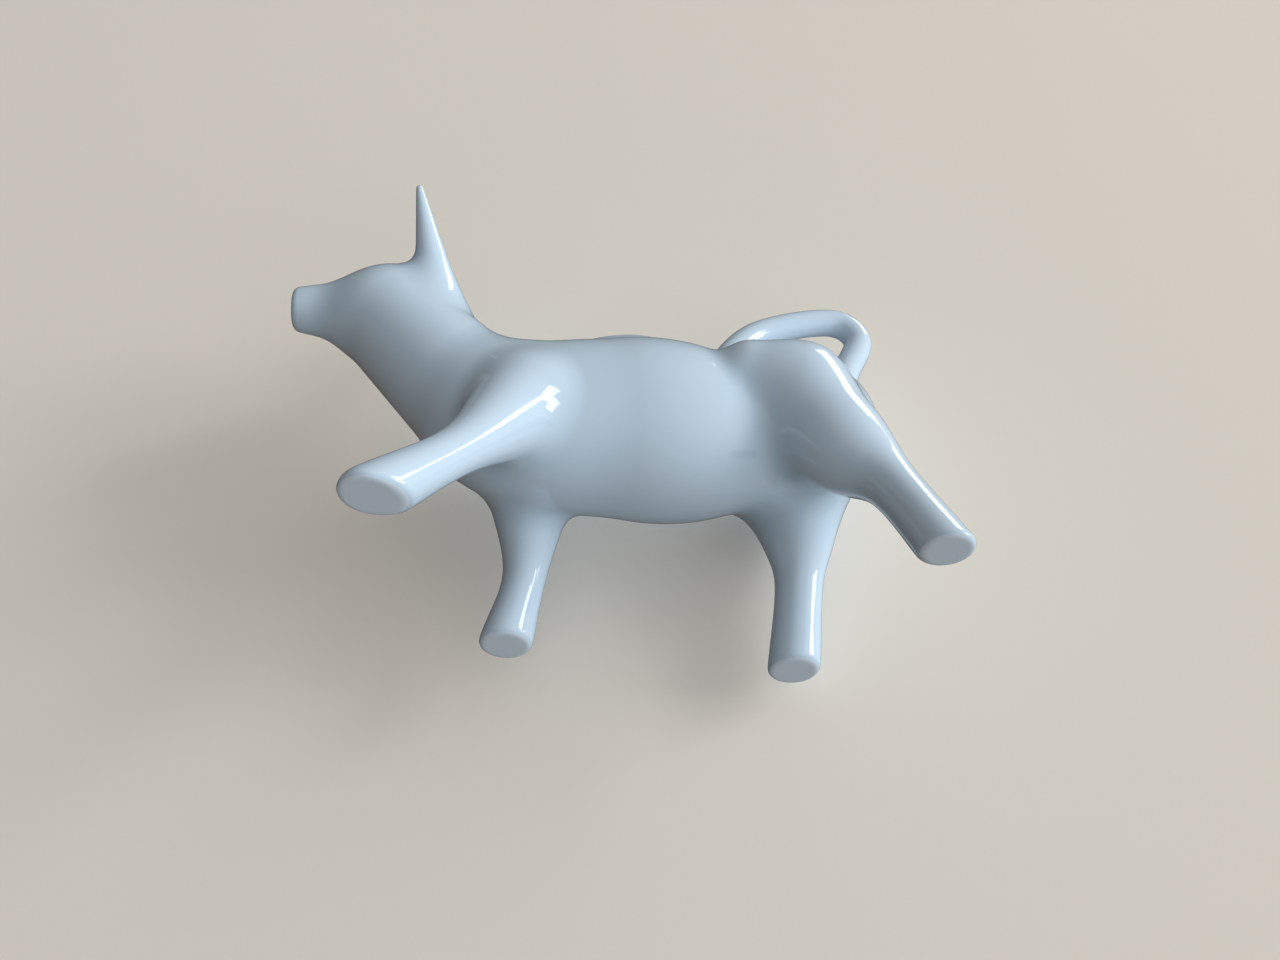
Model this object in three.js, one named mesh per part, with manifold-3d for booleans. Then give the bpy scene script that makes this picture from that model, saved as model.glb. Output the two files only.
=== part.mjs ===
// A cow creamer in glazed porcelain: a walking cow whose hollow barrel holds the cream.
// It is filled through an opening in the back, held by the looped tail and poured from the muzzle.
// Millimetres, +Z up. The cow stands on the plane z = 0, faces -X, and its left flank is towards -Y.
// Each form is a blend of eggs and tapered limbs, given as a distance field. Rings of rays cast from
// an axis find its skin, and the rings are lofted into solids, which are then hollowed and cut apart.

import * as THREE from 'three';
import { mergeVertices } from 'three/addons/utils/BufferGeometryUtils.js';
import Module from 'manifold-3d';

const wasm = await Module();
wasm.setup();

// Barrel: belly, chest and rump eggs
const BELLY_X = 14.9;
const BELLY_HEIGHT = 47;
const BELLY_LENGTH = 69;
const BELLY_WIDTH = 43;
const BELLY_DEPTH = 44;
const CHEST_AHEAD = 27;
const CHEST_DROP = 3;
const CHEST_LENGTH = 41;
const CHEST_WIDTH = 37;
const CHEST_DEPTH = 37;
const RUMP_BEHIND = 34.3;
const RUMP_RISE = 4.4;
const RUMP_LENGTH = 41;
const RUMP_WIDTH = 37;
const RUMP_DEPTH = 37;
const BARREL_BLEND = 10;

// Walls and the gaps left for the slip between luted pieces
const WALL = 2.2;
const SLIP_GAP = 0.3;
const SLIP_PAD = 0.6;
const PAD_SHARE = 0.5;

// Filling opening in the back, with a rolled lip
const FILL_AHEAD = 7.5;
const FILL_LENGTH = 26;
const FILL_WIDTH = 20;
const LIP_RADIUS = 1.6;

// Neck and head
const NECK_ROOT_AHEAD = 13;
const NECK_ROOT_RISE = 4.5;
const NECK_ROOT_RADIUS = 15.5;
const NECK_TOP_RADIUS = 13.3;
const NECK_LENGTH = 37;
const NECK_RISE_ANGLE = 47;
const NECK_BLEND = 9;
const NECK_SEAM_SHARE = 0.3;
const POLL_BEHIND = 3.8;
const POLL_RISE = 2.3;
const POLL_RADIUS = 10.1;
const HEAD_LENGTH = 27.4;
const HEAD_DIP_ANGLE = 4.5;
const HEAD_BLEND = 6;
const MUZZLE_RADIUS = 5.2;
const MUZZLE_EDGE = 0.9;

// Spine: the hollow's centreline, as shares of the way along each part it passes through
const SPINE_INTO_CHEST = 0.85;
const SPINE_INTO_NECK = 0.1;
const SPINE_UP_NECK = 0.55;
const SPINE_INTO_POLL = 0.4;
const SPINE_ALONG_HEAD = 0.6;

// Horns
const HORN_ROOT_BEHIND = 6.5;
const HORN_ROOT_RISE = 3.5;
const HORN_ROOT_SPREAD = 7.7;
const HORN_ROOT_RADIUS = 5;
const HORN_TIP_RADIUS = 0.9;
const HORN_TIP_AHEAD = 6.9;
const HORN_TIP_SPREAD = 12;
const HORN_TIP_RISE = 22.3;
const HORN_BLEND = 6;

// Front legs: places along the body are measured ahead of the chest's centre
const SHOULDER_SPREAD = 10.8;
const SHOULDER_DROP = 3.5;
const SHOULDER_RADIUS = 11.5;
const FRONT_KNEE_SPREAD = 19.8;
const FRONT_KNEE_HEIGHT = 18.6;
const FRONT_KNEE_RADIUS = 5.2;
const FRONT_SOLE_RADIUS = 5.9;
const LEFT_FRONT_FOOT_SPREAD = 25.2;
const RIGHT_FRONT_FOOT_SPREAD = 23.4;
const LEFT_SHOULDER_AHEAD = 3;
const LEFT_KNEE_AHEAD = 14;
const LEFT_FRONT_FOOT_AHEAD = 28.6;
const RIGHT_SHOULDER_AHEAD = 0.4;
const RIGHT_KNEE_AHEAD = -0.4;
const RIGHT_FRONT_FOOT_AHEAD = 2.5;
const SHOULDER_BLEND = 4;

// Hind legs: places along the body are measured behind the rump's centre
const HIP_AHEAD = 13.2;
const HIP_SPREAD = 17.5;
const HIP_RISE = 0.5;
const HIP_RADIUS = 8;
const HIP_BLEND = 3;
const HAUNCH_SPREAD = 13.5;
const HAUNCH_DROP = 0.4;
const HAUNCH_RADIUS = 10.4;
const STIFLE_SPREAD = 14.5;
const STIFLE_DROP = 15.7;
const HOCK_SPREAD = 18.8;
const HOCK_HEIGHT = 21.2;
const HOCK_RADIUS = 5.8;
const LEFT_HIND_FOOT_SPREAD = 24.4;
const RIGHT_HIND_FOOT_SPREAD = 25.1;
const LEFT_STIFLE_RADIUS = 10.8;
const RIGHT_STIFLE_RADIUS = 9.8;
const LEFT_HIND_SOLE_RADIUS = 5.4;
const RIGHT_HIND_SOLE_RADIUS = 6;
const LEFT_HAUNCH_BEHIND = -2.7;
const LEFT_STIFLE_BEHIND = 4.4;
const LEFT_HOCK_BEHIND = 12.5;
const LEFT_HIND_FOOT_BEHIND = 18.9;
const RIGHT_HAUNCH_BEHIND = 3.5;
const RIGHT_STIFLE_BEHIND = 3.2;
const RIGHT_HOCK_BEHIND = 3.4;
const RIGHT_HIND_FOOT_BEHIND = 1.7;
const HAUNCH_BLEND = 6.5;

// Soles
const SOLE_EDGE = 0.7;

// Tail: a loop over the rump, whose places are measured from the rump's centre
const TAIL_END_RISE = 9.2;
const TAIL_ROOT_BEHIND = 11;
const TAIL_BEND_BEHIND = 21.7;
const TAIL_BEND_RISE = 36;
const TAIL_CROWN_BEHIND = 14;
const TAIL_CROWN_RISE = 42.2;
const TAIL_SLOPE_AHEAD = 6.5;
const TAIL_SLOPE_RISE = 33.7;
const TAIL_FRONT_AHEAD = 17.3;
const TAIL_FRONT_RISE = 18.5;
const TAIL_ROOT_RADIUS = 3.6;
const TAIL_FRONT_RADIUS = 3.6;
const TAIL_BLEND = 3;

// Facets
const SKIN_SIDES = 36;
const SKIN_RINGS = 38;
const CAVITY_SIDES = 28;
const CAVITY_RINGS = 28;
const LEG_SIDES = 24;
const LEG_RINGS = 15;
const HORN_SIDES = 12;
const HORN_RINGS = 9;
const TAIL_SIDES = 12;
const TAIL_RINGS = 30;
const LIP_SIDES = 8;
const LIP_STEPS = 40;
const FAN_RINGS = 6;
const LIMB_SPANS = 4;
const CAST_STEPS = 120;
const CAST_TOLERANCE = 1e-4;
const WELD_TOLERANCE = 1e-5;

const porcelain = new THREE.MeshStandardMaterial({
  name: 'glazed_porcelain', color: 0xe6edf1, roughness: 0.12, metalness: 0,
});

const X_AXIS = new THREE.Vector3(1, 0, 0);
const Y_AXIS = new THREE.Vector3(0, 1, 0);
const Z_AXIS = new THREE.Vector3(0, 0, 1);
const DOWN = new THREE.Vector3(0, 0, -1);

const point = (x, y, z) => new THREE.Vector3(x, y, z);
const between = (a, b, share) => a.clone().lerp(b, share);

// Distance fields: negative inside, zero on the skin

function egg(centre, length, width, depth) {
  const half = point(length / 2, width / 2, depth / 2);
  const q = new THREE.Vector3();
  const w = new THREE.Vector3();
  return (p) => {
    q.subVectors(p, centre).divide(half);
    const k = q.length();
    const slope = w.copy(q).divide(half).length();
    return slope > 0 ? (k * (k - 1)) / slope : -Math.min(half.x, half.y, half.z);
  };
}

// A ball of radius ra at a, swept to one of radius rb at b
function taper(a, b, ra, rb) {
  const axis = new THREE.Vector3().subVectors(b, a);
  const length = axis.length();
  axis.normalize();
  const sine = (ra - rb) / length;
  const cosine = Math.sqrt(Math.max(1 - sine * sine, 0));
  const q = new THREE.Vector3();
  return (p) => {
    q.subVectors(p, a);
    const along = q.dot(axis);
    const out = Math.sqrt(Math.max(q.lengthSq() - along * along, 0));
    const foot = along - (out * sine) / cosine;
    const share = THREE.MathUtils.clamp(foot / length, 0, 1);
    const radius = ra + (rb - ra) * share;
    return Math.hypot(out, along - share * length) - radius;
  };
}

const union = (fields) => (p) => Math.min(...fields.map((field) => field(p)));

// Union of two fields with a fillet about as wide as reach
function blend(first, second, reach) {
  return (p) => {
    const a = first(p);
    const b = second(p);
    const h = Math.max(reach - Math.abs(a - b), 0) / reach;
    return Math.min(a, b) - (h * h * reach) / 4;
  };
}

// A limb: balls along a smooth curve through the points, their radii eased the same way
function limb(points, radii) {
  const steps = LIMB_SPANS * (points.length - 1);
  const path = new THREE.CatmullRomCurve3(points, false, 'catmullrom', 0.5);
  const girth = new THREE.CatmullRomCurve3(radii.map((r) => point(r, 0, 0)), false, 'catmullrom', 0.5);
  const centres = path.getPoints(steps);
  const sizes = girth.getPoints(steps).map((v) => v.x);
  const spans = centres.slice(1).map((c, i) => taper(centres[i], c, sizes[i], sizes[i + 1]));
  return { path, field: union(spans) };
}

// Distance from an origin inside a form, along a unit direction, to the field's level
function cast(field, origin, direction, level) {
  const p = new THREE.Vector3();
  let out = 0;
  for (let step = 0; step < CAST_STEPS; step++) {
    const depth = level - field(p.copy(origin).addScaledVector(direction, out));
    out += depth;
    if (Math.abs(depth) < CAST_TOLERANCE) break;
  }
  return out;
}

// Directions round an axis, starting as near as possible to the reference given
function spokes(axis, reference, sides) {
  const u = reference.clone().addScaledVector(axis, -reference.dot(axis)).normalize();
  const v = new THREE.Vector3().crossVectors(axis, u);
  return Array.from({ length: sides }, (_, i) => {
    const turn = (2 * Math.PI * i) / sides;
    return u.clone().multiplyScalar(Math.cos(turn)).addScaledVector(v, Math.sin(turn));
  });
}

// One ring of skin points round a centre; inset draws the ring in, for an eased edge
function ring(skin, centre, axis, inset = 0) {
  return spokes(axis, skin.reference, skin.sides).map((spoke) => {
    const out = cast(skin.field, centre, spoke, skin.level) - inset;
    return centre.clone().addScaledVector(spoke, out);
  });
}

// Rings that close the start of a form, fanned about its first centre, and the pole they meet in
function fan(skin, centre, axis) {
  const back = axis.clone().negate();
  const pole = centre.clone().addScaledVector(back, cast(skin.field, centre, back, skin.level));
  const rings = [];
  for (let i = 1; i < FAN_RINGS; i++) {
    const tilt = (Math.PI / 2) * (i / FAN_RINGS);
    rings.push(spokes(axis, skin.reference, skin.sides).map((spoke) => {
      const ray = spoke.clone().multiplyScalar(Math.sin(tilt)).addScaledVector(back, Math.cos(tilt));
      return centre.clone().addScaledVector(ray, cast(skin.field, centre, ray, skin.level));
    }));
  }
  return { pole, rings };
}

const middle = (points) => points.reduce((sum, p) => sum.add(p), point(0, 0, 0)).divideScalar(points.length);

// Triangles between rings; open ends are closed to a pole or to the middle of the last ring
function loft(rings, start = middle(rings[0]), end = middle(rings[rings.length - 1])) {
  const sides = rings[0].length;
  const points = [...rings.flat(), start, end];
  const index = [];
  const at = (row, i) => row * sides + (i % sides);
  for (let i = 0; i < sides; i++) {
    index.push(points.length - 2, at(0, i + 1), at(0, i));
    for (let row = 0; row + 1 < rings.length; row++) {
      index.push(at(row, i), at(row, i + 1), at(row + 1, i + 1));
      index.push(at(row, i), at(row + 1, i + 1), at(row + 1, i));
    }
    index.push(points.length - 1, at(rings.length - 1, i), at(rings.length - 1, i + 1));
  }
  return new THREE.BufferGeometry().setFromPoints(points).setIndex(index);
}

// Triangles between rings that come back to the first one
function hoop(rings) {
  const sides = rings[0].length;
  const index = [];
  const at = (row, i) => (row % rings.length) * sides + (i % sides);
  for (let row = 0; row < rings.length; row++) {
    for (let i = 0; i < sides; i++) {
      index.push(at(row, i), at(row, i + 1), at(row + 1, i + 1));
      index.push(at(row, i), at(row + 1, i + 1), at(row + 1, i));
    }
  }
  return new THREE.BufferGeometry().setFromPoints(rings.flat()).setIndex(index);
}

// Solids

function solid(geometry) {
  const bare = geometry.clone();
  bare.deleteAttribute('normal');
  bare.deleteAttribute('uv');
  const welded = mergeVertices(bare, WELD_TOLERANCE);
  const vertProperties = new Float32Array(welded.attributes.position.array);
  const triVerts = new Uint32Array(welded.index.array);
  return new wasm.Manifold(new wasm.Mesh({ numProp: 3, vertProperties, triVerts }));
}

function piece(name, body) {
  const { vertProperties, triVerts } = body.getMesh();
  const geometry = new THREE.BufferGeometry();
  geometry.setAttribute('position', new THREE.BufferAttribute(new Float32Array(vertProperties), 3));
  geometry.setIndex(Array.from(triVerts));
  geometry.computeVertexNormals();
  const mesh = new THREE.Mesh(geometry, porcelain);
  mesh.name = name;
  return mesh;
}

// Everything on the far side of a plane through origin, as a block larger than the cow
function beyond(origin, normal) {
  const size = 2 * (BELLY_LENGTH + NECK_LENGTH + HEAD_LENGTH + BELLY_HEIGHT);
  const block = new THREE.BoxGeometry(size, size, size).translate(0, 0, size / 2);
  block.applyQuaternion(new THREE.Quaternion().setFromUnitVectors(Z_AXIS, normal));
  return solid(block.translate(origin.x, origin.y, origin.z));
}

// Barrel, neck and head as one field and one spine

const belly = point(BELLY_X, 0, BELLY_HEIGHT);
const chest = belly.clone().add(point(-CHEST_AHEAD, 0, -CHEST_DROP));
const rump = belly.clone().add(point(RUMP_BEHIND, 0, RUMP_RISE));
const neckRise = THREE.MathUtils.degToRad(NECK_RISE_ANGLE);
const neckRoot = chest.clone().add(point(-NECK_ROOT_AHEAD, 0, NECK_ROOT_RISE));
const neckTop = neckRoot.clone().add(
  point(-Math.cos(neckRise), 0, Math.sin(neckRise)).multiplyScalar(NECK_LENGTH));
const poll = neckTop.clone().add(point(POLL_BEHIND, 0, POLL_RISE));
const headDip = THREE.MathUtils.degToRad(HEAD_DIP_ANGLE);
const headAxis = point(-Math.cos(headDip), 0, -Math.sin(headDip));
const muzzle = poll.clone().addScaledVector(headAxis, HEAD_LENGTH);

const barrelField = [
  egg(chest, CHEST_LENGTH, CHEST_WIDTH, CHEST_DEPTH),
  egg(rump, RUMP_LENGTH, RUMP_WIDTH, RUMP_DEPTH),
].reduce((sum, field) => blend(sum, field, BARREL_BLEND), egg(belly, BELLY_LENGTH, BELLY_WIDTH, BELLY_DEPTH));

// The head's cone runs on past the muzzle's flat end, so that the last ring still lies on its side
const headTaper = (POLL_RADIUS - MUZZLE_RADIUS) / HEAD_LENGTH;
const headRun = 2 * MUZZLE_RADIUS;
const headField = taper(poll, muzzle.clone().addScaledVector(headAxis, headRun), POLL_RADIUS,
  MUZZLE_RADIUS - headTaper * headRun);
const neckField = taper(neckRoot, neckTop, NECK_ROOT_RADIUS, NECK_TOP_RADIUS);
const skinField = blend(barrelField, blend(neckField, headField, HEAD_BLEND), NECK_BLEND);

const spine = new THREE.CatmullRomCurve3([
  rump,
  belly,
  between(belly, chest, SPINE_INTO_CHEST),
  between(neckRoot, neckTop, SPINE_INTO_NECK),
  between(neckRoot, neckTop, SPINE_UP_NECK),
  between(neckTop, poll, SPINE_INTO_POLL),
  between(poll, muzzle, SPINE_ALONG_HEAD),
  muzzle,
], false, 'catmullrom', 0.5);

// The cow's skin at a distance outside (or, below zero, inside) its surface, from rump to muzzle
function skinSolid(level, sides, count, overrun) {
  const skin = { field: skinField, level, sides, reference: Y_AXIS };
  const { pole, rings } = fan(skin, rump, spine.getTangent(0));
  for (let i = 0; i < count; i++) {
    const share = i / count;
    rings.push(ring(skin, spine.getPointAt(share), spine.getTangentAt(share)));
  }
  const face = muzzle.clone().addScaledVector(headAxis, overrun);
  rings.push(ring(skin, face.clone().addScaledVector(headAxis, -MUZZLE_EDGE), headAxis));
  rings.push(ring(skin, face, headAxis, overrun > level ? 0 : MUZZLE_EDGE));
  return solid(loft(rings, pole));
}

const outer = skinSolid(0, SKIN_SIDES, SKIN_RINGS, 0);
const clearOfSkin = skinSolid(SLIP_GAP, SKIN_SIDES, SKIN_RINGS, SLIP_GAP);
const cavity = skinSolid(-WALL, CAVITY_SIDES, CAVITY_RINGS, WALL);

// Filling opening: an oval well through the back, and a bead that follows the back round its rim

function fillingWell() {
  const oval = new THREE.Shape().absellipse(0, 0, FILL_LENGTH / 2, FILL_WIDTH / 2, 0, 2 * Math.PI);
  const depth = BELLY_DEPTH;
  const well = new THREE.ExtrudeGeometry(oval, { depth, bevelEnabled: false, curveSegments: LIP_STEPS / 2 });
  return solid(well.translate(BELLY_X - FILL_AHEAD, 0, BELLY_HEIGHT));
}

function fillingLip() {
  const places = Array.from({ length: LIP_STEPS }, (_, i) => {
    const turn = (2 * Math.PI * i) / LIP_STEPS;
    const x = BELLY_X - FILL_AHEAD + (FILL_LENGTH / 2 + LIP_RADIUS / 2) * Math.cos(turn);
    const y = (FILL_WIDTH / 2 + LIP_RADIUS / 2) * Math.sin(turn);
    const foot = point(x, y, BELLY_HEIGHT);
    return foot.addScaledVector(Z_AXIS, cast(skinField, foot, Z_AXIS, 0));
  });
  const rim = new THREE.CatmullRomCurve3(places, true);
  const rings = Array.from({ length: LIP_STEPS }, (_, i) => {
    const share = i / LIP_STEPS;
    const centre = rim.getPointAt(share);
    return spokes(rim.getTangentAt(share), Z_AXIS, LIP_SIDES)
      .map((spoke) => centre.clone().addScaledVector(spoke, LIP_RADIUS));
  });
  return solid(hoop(rings));
}

const shell = outer.add(fillingLip()).subtract(cavity).subtract(fillingWell());

// The barrel and the neck are luted together in a plane across the root of the neck
const neckAxis = new THREE.Vector3().subVectors(neckTop, neckRoot).normalize();
const seam = between(neckRoot, neckTop, NECK_SEAM_SHARE);
const barrelBody = shell.subtract(beyond(seam.clone().addScaledVector(neckAxis, -SLIP_GAP / 2), neckAxis));
const headBody = shell.intersect(beyond(seam.clone().addScaledVector(neckAxis, SLIP_GAP / 2), neckAxis));

// Limbs: each flares into a thin pad of slip on the skin, and is cut to seat on it

// A limb with its flared root, trimmed a set way out from the limb, where form lofts a field's level.
// Its shapes are fields, each with the reach of its own fillet.
function rooted(shapes, form, level) {
  const grown = (share) => union(shapes.map(({ field, reach }) => (p) => field(p) - share * reach));
  const padded = shapes.reduce((sum, { field, reach }) => blend(sum, field, reach), (p) => skinField(p) - SLIP_PAD);
  const edge = grown(1);
  const flared = (p) => Math.max(padded(p), edge(p));
  return solid(form(flared, level)).intersect(solid(form(grown(PAD_SHARE), level)));
}

// The tail at a distance outside its surface, with both ends inside the barrel
function tailSolid(level) {
  const place = (behind, rise) => point(rump.x + behind, 0, rump.z + rise);
  const stations = [
    place(TAIL_ROOT_BEHIND, TAIL_END_RISE),
    place((TAIL_ROOT_BEHIND + TAIL_BEND_BEHIND) / 2, (TAIL_END_RISE + TAIL_BEND_RISE) / 2),
    place(TAIL_BEND_BEHIND, TAIL_BEND_RISE),
    place(TAIL_CROWN_BEHIND, TAIL_CROWN_RISE),
    place(-TAIL_SLOPE_AHEAD, TAIL_SLOPE_RISE),
    place(-TAIL_FRONT_AHEAD, TAIL_FRONT_RISE),
    place(-TAIL_FRONT_AHEAD, TAIL_END_RISE),
  ];
  const radii = stations.map((_, i) =>
    THREE.MathUtils.lerp(TAIL_ROOT_RADIUS, TAIL_FRONT_RADIUS, i / (stations.length - 1)));
  const { path, field } = limb(stations, radii);
  const form = (shape, depth) => {
    const skin = { field: shape, level: depth, sides: TAIL_SIDES, reference: Y_AXIS };
    return loft(Array.from({ length: TAIL_RINGS + 1 }, (_, i) => {
      const share = i / TAIL_RINGS;
      return ring(skin, path.getPointAt(share), path.getTangentAt(share));
    }));
  };
  return rooted([{ field, reach: TAIL_BLEND }], form, level);
}

const clearOfTail = tailSolid(SLIP_GAP);

// A limb cut to seat on the skin, clear of the tail and of its twin on the other side
function luted(body, side) {
  const ownHalf = beyond(point(0, side * SLIP_GAP / 2, 0), Y_AXIS.clone().multiplyScalar(side));
  return body.subtract(clearOfSkin).subtract(clearOfTail).intersect(ownHalf);
}

// A leg from its joint in the body to a level sole: the rings tip from square across the leg to level
function leg(name, side, path, shapes, points) {
  const sole = points[points.length - 1];
  const form = (shape, level) => {
    const skin = { field: shape, level, sides: LEG_SIDES, reference: X_AXIS };
    const { pole, rings } = fan(skin, points[0], path.getTangent(0));
    for (let i = 0; i < LEG_RINGS; i++) {
      const share = i / LEG_RINGS;
      const across = path.getTangent(share).lerp(DOWN, share * share).normalize();
      rings.push(ring(skin, path.getPoint(share), across));
    }
    rings.push(ring(skin, sole.clone().setZ(SOLE_EDGE), DOWN));
    rings.push(ring(skin, sole, DOWN, SOLE_EDGE));
    return loft(rings, pole);
  };
  return piece(name, luted(rooted(shapes, form, 0), side));
}

function frontLeg(name, side, shoulderAhead, kneeAhead, footAhead, footSpread) {
  const shoulder = point(chest.x - shoulderAhead, side * SHOULDER_SPREAD, chest.z - SHOULDER_DROP);
  const knee = point(chest.x - kneeAhead, side * FRONT_KNEE_SPREAD, FRONT_KNEE_HEIGHT);
  const foot = point(chest.x - footAhead, side * footSpread, 0);
  const points = [shoulder, knee, foot];
  const { path, field } = limb(points, [SHOULDER_RADIUS, FRONT_KNEE_RADIUS, FRONT_SOLE_RADIUS]);
  return leg(name, side, path, [{ field, reach: SHOULDER_BLEND }], points);
}

// A hind leg also runs forward from its haunch to the hip, which meets the barrel in a closer crease
function hindLeg(name, side, { haunchBehind, stifleBehind, hockBehind, footBehind, footSpread, stifleRadius, soleRadius }) {
  const hip = point(rump.x - HIP_AHEAD, side * HIP_SPREAD, rump.z + HIP_RISE);
  const haunch = point(rump.x + haunchBehind, side * HAUNCH_SPREAD, rump.z - HAUNCH_DROP);
  const stifle = point(rump.x + stifleBehind, side * STIFLE_SPREAD, rump.z - STIFLE_DROP);
  const hock = point(rump.x + hockBehind, side * HOCK_SPREAD, HOCK_HEIGHT);
  const foot = point(rump.x + footBehind, side * footSpread, 0);
  const points = [haunch, stifle, hock, foot];
  const { path, field } = limb(points, [HAUNCH_RADIUS, stifleRadius, HOCK_RADIUS, soleRadius]);
  const ham = taper(haunch, hip, HAUNCH_RADIUS, HIP_RADIUS);
  return leg(name, side, path, [{ field: ham, reach: HIP_BLEND }, { field, reach: HAUNCH_BLEND }], points);
}

function horn(name, side) {
  const root = poll.clone().add(point(HORN_ROOT_BEHIND, side * HORN_ROOT_SPREAD, HORN_ROOT_RISE));
  const tip = root.clone().add(point(-HORN_TIP_AHEAD, side * HORN_TIP_SPREAD, HORN_TIP_RISE));
  const { path, field } = limb([root, tip], [HORN_ROOT_RADIUS, HORN_TIP_RADIUS]);
  const axis = path.getTangent(0);
  const form = (shape, level) => {
    const skin = { field: shape, level, sides: HORN_SIDES, reference: X_AXIS };
    const { pole, rings } = fan(skin, root, axis);
    for (let i = 0; i <= HORN_RINGS; i++) rings.push(ring(skin, path.getPoint(i / HORN_RINGS), axis));
    return loft(rings, pole, tip.clone().addScaledVector(axis, HORN_TIP_RADIUS + level));
  };
  return piece(name, luted(rooted([{ field, reach: HORN_BLEND }], form, 0), side));
}

const cow = new THREE.Group();
cow.name = 'cow_creamer';
cow.add(
  piece('body_shell', barrelBody),
  piece('head_spout', headBody),
  frontLeg('front_left_leg', -1, LEFT_SHOULDER_AHEAD, LEFT_KNEE_AHEAD,
    LEFT_FRONT_FOOT_AHEAD, LEFT_FRONT_FOOT_SPREAD),
  frontLeg('front_right_leg', 1, RIGHT_SHOULDER_AHEAD, RIGHT_KNEE_AHEAD,
    RIGHT_FRONT_FOOT_AHEAD, RIGHT_FRONT_FOOT_SPREAD),
  hindLeg('rear_left_leg', -1, {
    haunchBehind: LEFT_HAUNCH_BEHIND, stifleBehind: LEFT_STIFLE_BEHIND, hockBehind: LEFT_HOCK_BEHIND,
    footBehind: LEFT_HIND_FOOT_BEHIND, footSpread: LEFT_HIND_FOOT_SPREAD,
    stifleRadius: LEFT_STIFLE_RADIUS, soleRadius: LEFT_HIND_SOLE_RADIUS,
  }),
  hindLeg('rear_right_leg', 1, {
    haunchBehind: RIGHT_HAUNCH_BEHIND, stifleBehind: RIGHT_STIFLE_BEHIND, hockBehind: RIGHT_HOCK_BEHIND,
    footBehind: RIGHT_HIND_FOOT_BEHIND, footSpread: RIGHT_HIND_FOOT_SPREAD,
    stifleRadius: RIGHT_STIFLE_RADIUS, soleRadius: RIGHT_HIND_SOLE_RADIUS,
  }),
  horn('left_horn', -1),
  horn('right_horn', 1),
  piece('tail_handle', tailSolid(0).subtract(clearOfSkin)),
);

export default cow;
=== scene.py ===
"""Dresses the frame of a cow creamer: one skin of glazed porcelain over its nine luted pieces.

The cow is drawn as a distance field in millimetres, the same eggs, tapers and limbs as the frame's
solids, but with a soft fillet at each root, as the glaze leaves it. A grid over two parameters, or
a profile along a path, would leave a hard seam at each root. So the field's skin is netted with
small quads instead, and the net is parted along the slip lines into one closed piece for each node.
"""

from __future__ import annotations

import logging
from dataclasses import dataclass, field
from enum import Enum
from typing import Callable

import bpy
import numpy as np
from mathutils import Matrix, Vector

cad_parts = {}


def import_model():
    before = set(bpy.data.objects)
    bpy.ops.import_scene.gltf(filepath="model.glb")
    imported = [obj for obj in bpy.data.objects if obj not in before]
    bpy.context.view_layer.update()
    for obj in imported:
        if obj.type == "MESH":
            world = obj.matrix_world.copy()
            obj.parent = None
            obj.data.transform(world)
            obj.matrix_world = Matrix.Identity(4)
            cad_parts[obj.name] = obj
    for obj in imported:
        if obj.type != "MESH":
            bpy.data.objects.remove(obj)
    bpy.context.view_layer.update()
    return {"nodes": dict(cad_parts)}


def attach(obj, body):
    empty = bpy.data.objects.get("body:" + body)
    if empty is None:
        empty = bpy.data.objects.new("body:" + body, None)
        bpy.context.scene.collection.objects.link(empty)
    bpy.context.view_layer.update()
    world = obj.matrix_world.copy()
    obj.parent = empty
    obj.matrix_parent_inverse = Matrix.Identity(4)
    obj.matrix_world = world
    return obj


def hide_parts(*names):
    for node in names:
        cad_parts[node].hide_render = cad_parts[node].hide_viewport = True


Array = np.ndarray
Field = Callable[[Array], Array]

LOG = logging.getLogger("cow_creamer")
MM = 0.001
FAR = 1000.0
TINY = 1e-9
IMAGE_WIDTH = 1280
BODY = "root"
STEPS = np.eye(3, dtype=int)
# A colour mix node's own sockets, by number among those for other types of value.
MIX_A, MIX_B, MIX_RESULT = 6, 7, 2


class Side(Enum):
    """The two sides of the cow, which faces -X, as signs of y."""

    LEFT = -1
    RIGHT = 1


def at(x: float, y: float, z: float) -> Array:
    """Returns a place or a direction as an array."""
    return np.array([x, y, z], dtype=float)


def dots(a: Array, b: Array) -> Array:
    """Gives the dot product of each pair of rows."""
    return np.einsum("ij,ij->i", a, b)


def unit(rows: Array) -> Array:
    """Scales each row to a length of 1."""
    return rows / np.maximum(np.linalg.norm(rows, axis=1, keepdims=True), TINY)


def shortened(rows: Array, most: float) -> Array:
    """Cuts each longer row down to a length of most."""
    length = np.linalg.norm(rows, axis=1, keepdims=True)
    return rows * np.minimum(1, most / np.maximum(length, TINY))


def stretches(knots: Array) -> Array:
    """Gives the cubics of a smooth curve through knots, as a uniform Catmull-Rom spline.

    Each stretch is the cubic whose slope at a knot is half the way between that knot's neighbours.
    Past each end the curve is taken to run straight on.

    Args:
        knots: one row for each knot.

    Returns:
        Each stretch's four coefficients, from the cube down, one row each.
    """
    ends = np.vstack([2 * knots[:1] - knots[1:2], knots, 2 * knots[-1:] - knots[-2:-1]])
    p0, p1, p2, p3 = (ends[i:len(ends) - 3 + i] for i in range(4))
    slope_1 = (p2 - p0) / 2
    slope_2 = (p3 - p1) / 2
    return np.stack([2 * p1 - 2 * p2 + slope_1 + slope_2,
                     -3 * p1 + 3 * p2 - 2 * slope_1 - slope_2, slope_1, p1], axis=1)


def egg(points: Array, centre: Array, size: Array) -> Array:
    """Gives the distance to an ellipsoid: k (k - 1) / |slope of k|, where k is 1 on its skin.

    Places of two numbers give an ellipse's instead.

    Args:
        points: places, one row each.
        centre: the egg's centre.
        size: its length, width and depth.

    Returns:
        The distances, below zero inside.
    """
    q = (points - centre) / (size / 2)
    k = np.sqrt(dots(q, q))
    q /= size / 2
    slope = np.sqrt(dots(q, q))
    return k * (k - 1) / np.maximum(slope, TINY)


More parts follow.
